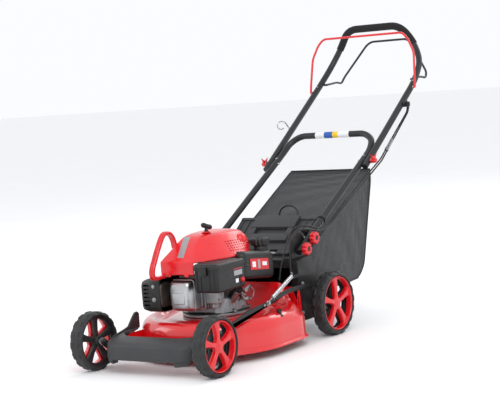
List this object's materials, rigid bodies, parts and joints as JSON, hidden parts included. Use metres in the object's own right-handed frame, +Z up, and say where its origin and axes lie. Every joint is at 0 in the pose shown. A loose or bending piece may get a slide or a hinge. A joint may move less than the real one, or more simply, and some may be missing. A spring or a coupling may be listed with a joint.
{
  "type": "push lawn mower",
  "caption": "Walk-behind petrol mower: steel deck with blade, four wheels, vertical-shaft engine, rear flap, grass bag, folding tube handle with brake and drive bails",
  "frame": {"origin": "On the ground under the middle of the overall length and width", "axes": "+X the operator's left, -Y the front of the machine, +Z up"},
  "size_m": [0.504, 1.6306, 0.9887],
  "materials": {
    "deck_paint": "glossy red enamel over pressed steel sheet",
    "bail_red": "red powder coat on bent steel wire",
    "red_plastic": "red moulded engine cover, semi-gloss",
    "wheel_red": "red moulded wheel cover",
    "knob_red": "red moulded clamping knobs",
    "primer_red": "soft red primer bulb",
    "bumper_plastic": "dark grey moulded plastic, fine grain",
    "flap_plastic": "dark grey moulded plastic, fine grain",
    "frame_plastic": "black moulded plastic",
    "engine_plastic": "black moulded engine plastics, light grain",
    "tube_paint": "charcoal powder coat on steel tube",
    "wire_black": "black powder coat on steel wire and strip",
    "tyre": "black moulded wheel with a block tread",
    "cast_alloy": "die-cast aluminium, as cast",
    "zinc_steel": "zinc-plated steel",
    "blade_steel": "black painted spring steel, ground edges",
    "muffler_steel": "heat-darkened steel can",
    "foam": "oiled filter foam",
    "bag_fabric": "black woven polyester",
    "cable_black": "black plastic cable housing"
  },
  "bodies": {
    "chassis": {"deck": "deck_paint", "front_bumper": "bumper_plastic", "rear_frame": "frame_plastic", "handle_bracket_left": "flap_plastic", "handle_bracket_right": "flap_plastic", "engine_block": "cast_alloy", "valve_cover": "cast_alloy", "spark_plug": "engine_plastic", "muffler": "muffler_steel", "muffler_guard": "wire_black", "air_filter_tray": "engine_plastic", "air_filter_foam": "foam", "air_filter_lid": "engine_plastic", "carburettor": "cast_alloy", "fuel_tank": "engine_plastic", "fan_cover": "red_plastic", "carry_handle": "red_plastic", "wash_nozzle": "engine_plastic", "height_spring": "zinc_steel"},
    "blade_rotor": {"blade": "blade_steel", "blade_adapter": "zinc_steel", "crankshaft": "zinc_steel", "flywheel": "cast_alloy"},
    "front_axle": {"front_axle": "zinc_steel"},
    "rear_axle": {"rear_axle": "zinc_steel", "gear_case": "cast_alloy"},
    "height_bar": {"height_bar": "wire_black"},
    "rear_flap": {"rear_flap": "flap_plastic"},
    "grass_bag": {"grass_bag": "bag_fabric", "bag_handle": "wire_black"},
    "lower_handle": {"lower_handle": "tube_paint", "cable_strap": "engine_plastic", "brake_cable_lower": "cable_black", "drive_cable_lower": "cable_black"},
    "upper_handle": {"upper_handle": "tube_paint", "cable_holder": "engine_plastic", "rope_guide": "zinc_steel", "brake_cable_upper": "cable_black", "drive_cable_upper": "cable_black"},
    "brake_bail": {"brake_bail": "bail_red"},
    "drive_bail": {"drive_bail": "wire_black"},
    "starter_grip": {"starter_grip": "engine_plastic"},
    "primer_bulb": {"primer_bulb": "primer_red"},
    "fuel_cap": {"fuel_cap": "engine_plastic"},
    "oil_cap": {"oil_cap": "engine_plastic"},
    "governor_lever": {"governor_lever": "zinc_steel"},
    "wheel_front_left": {"wheel_front_left": "tyre", "wheel_cover_front_left": "wheel_red"},
    "wheel_front_right": {"wheel_front_right": "tyre", "wheel_cover_front_right": "wheel_red"},
    "wheel_rear_left": {"wheel_rear_left": "tyre", "wheel_cover_rear_left": "wheel_red"},
    "wheel_rear_right": {"wheel_rear_right": "tyre", "wheel_cover_rear_right": "wheel_red"},
    "star_knob_left_lower": {"star_knob_left_lower": "knob_red"},
    "star_knob_left_upper": {"star_knob_left_upper": "knob_red"},
    "star_knob_right_lower": {"star_knob_right_lower": "knob_red"},
    "star_knob_right_upper": {"star_knob_right_upper": "knob_red"},
    "wing_knob_left": {"wing_knob_left": "knob_red"},
    "wing_knob_right": {"wing_knob_right": "knob_red"}
  },
  "joints": [
    {"name": "blade_spin", "type": "hinge", "parent": "chassis", "child": "blade_rotor", "pos_m": [0, -0.40134, 0.048], "axis": [0, 0, 1], "continuous": true},
    {"name": "height_rear", "type": "hinge", "parent": "chassis", "child": "rear_axle", "pos_m": [0, -0.04534, 0.0765], "axis": [1, 0, 0], "range_deg": [0, 68]},
    {"name": "height_front", "type": "hinge", "parent": "chassis", "child": "front_axle", "pos_m": [0, -0.69234, 0.064], "axis": [1, 0, 0], "range_deg": [0, 68.1]},
    {"name": "height_bar_slide", "type": "slide", "parent": "chassis", "child": "height_bar", "axis": [0, -1, 0], "range_m": [0, 0.0645], "deforming": ["height_spring"]},
    {"name": "wheel_front_left_roll", "type": "hinge", "parent": "front_axle", "child": "wheel_front_left", "pos_m": [0.225, -0.72934, 0.089], "axis": [1, 0, 0], "continuous": true},
    {"name": "wheel_front_right_roll", "type": "hinge", "parent": "front_axle", "child": "wheel_front_right", "pos_m": [-0.225, -0.72934, 0.089], "axis": [1, 0, 0], "continuous": true},
    {"name": "wheel_rear_left_roll", "type": "hinge", "parent": "rear_axle", "child": "wheel_rear_left", "pos_m": [0.225, -0.08234, 0.1015], "axis": [1, 0, 0], "continuous": true},
    {"name": "wheel_rear_right_roll", "type": "hinge", "parent": "rear_axle", "child": "wheel_rear_right", "pos_m": [-0.225, -0.08234, 0.1015], "axis": [1, 0, 0], "continuous": true},
    {"name": "rear_flap_hinge", "type": "hinge", "parent": "chassis", "child": "rear_flap", "pos_m": [0, -0.13434, 0.268], "axis": [1, 0, 0], "range_deg": [0, 55], "stiffness_Nm_per_rad": 0.5, "springref_deg": -45.84},
    {"name": "bag_lift_off", "type": "slide", "parent": "chassis", "child": "grass_bag", "axis": [0, 0.97, 0.243], "range_m": [0, 0.45]},
    {"name": "lower_handle_fold", "type": "hinge", "parent": "chassis", "child": "lower_handle", "pos_m": [0, -0.16734, 0.28801], "axis": [1, 0, 0], "range_deg": [0, 150], "deforming": ["brake_cable_lower", "drive_cable_lower"]},
    {"name": "upper_handle_fold", "type": "hinge", "parent": "lower_handle", "child": "upper_handle", "pos_m": [0, 0.25566, 0.527], "axis": [1, 0, 0], "range_deg": [-95, 0], "deforming": ["brake_cable_upper", "drive_cable_upper"]},
    {"name": "brake_bail_squeeze", "type": "hinge", "parent": "upper_handle", "child": "brake_bail", "pos_m": [0, 0.58866, 0.75544], "axis": [1, 0, 0], "range_deg": [-24, 0], "stiffness_Nm_per_rad": 0.8, "springref_deg": 28.65},
    {"name": "drive_bail_squeeze", "type": "hinge", "parent": "upper_handle", "child": "drive_bail", "pos_m": [0, 0.63666, 0.78308], "axis": [1, 0, 0], "range_deg": [0, 24], "stiffness_Nm_per_rad": 0.8, "springref_deg": -28.65},
    {"name": "star_knob_left_lower_turn", "type": "hinge", "parent": "lower_handle", "child": "star_knob_left_lower", "pos_m": [0.198, -0.16734, 0.28801], "axis": [1, 0, 0], "continuous": true},
    {"name": "star_knob_left_upper_turn", "type": "hinge", "parent": "lower_handle", "child": "star_knob_left_upper", "pos_m": [0.198, -0.11734, 0.31626], "axis": [1, 0, 0], "continuous": true},
    {"name": "star_knob_right_lower_turn", "type": "hinge", "parent": "lower_handle", "child": "star_knob_right_lower", "pos_m": [-0.198, -0.16734, 0.28801], "axis": [1, 0, 0], "continuous": true},
    {"name": "star_knob_right_upper_turn", "type": "hinge", "parent": "lower_handle", "child": "star_knob_right_upper", "pos_m": [-0.198, -0.11734, 0.31626], "axis": [1, 0, 0], "continuous": true},
    {"name": "wing_knob_left_turn", "type": "hinge", "parent": "lower_handle", "child": "wing_knob_left", "pos_m": [0.215, 0.25566, 0.527], "axis": [1, 0, 0], "continuous": true},
    {"name": "wing_knob_right_turn", "type": "hinge", "parent": "lower_handle", "child": "wing_knob_right", "pos_m": [-0.215, 0.25566, 0.527], "axis": [1, 0, 0], "continuous": true},
    {"name": "starter_pull", "type": "slide", "parent": "chassis", "child": "starter_grip", "axis": [0, 0.7508, 0.6605], "range_m": [0, 0.55], "stiffness_N_per_m": 12, "springref_m": -0.3},
    {"name": "primer_press", "type": "slide", "parent": "chassis", "child": "primer_bulb", "axis": [-1, 0, 0], "range_m": [0, 0.005], "stiffness_N_per_m": 600, "springref_m": -0.002},
    {"name": "fuel_cap_turn", "type": "hinge", "parent": "chassis", "child": "fuel_cap", "pos_m": [0.106, -0.28934, 0.326], "axis": [0, 0, 1], "continuous": true},
    {"name": "oil_cap_turn", "type": "hinge", "parent": "chassis", "child": "oil_cap", "pos_m": [0.1086, -0.42934, 0.2023], "axis": [0.595, 0, 0.8037], "continuous": true},
    {"name": "governor_swing", "type": "hinge", "parent": "chassis", "child": "governor_lever", "pos_m": [0.093, -0.40734, 0.206], "axis": [1, 0, 0], "range_deg": [-8, 10], "stiffness_Nm_per_rad": 0.05}
  ],
  "couplings": [
    {"joint": "height_front", "follows": "height_rear", "ratio": 1},
    {"joint": "height_bar_slide", "follows": "height_rear", "m_per_rad": 0.0543}
  ]
}
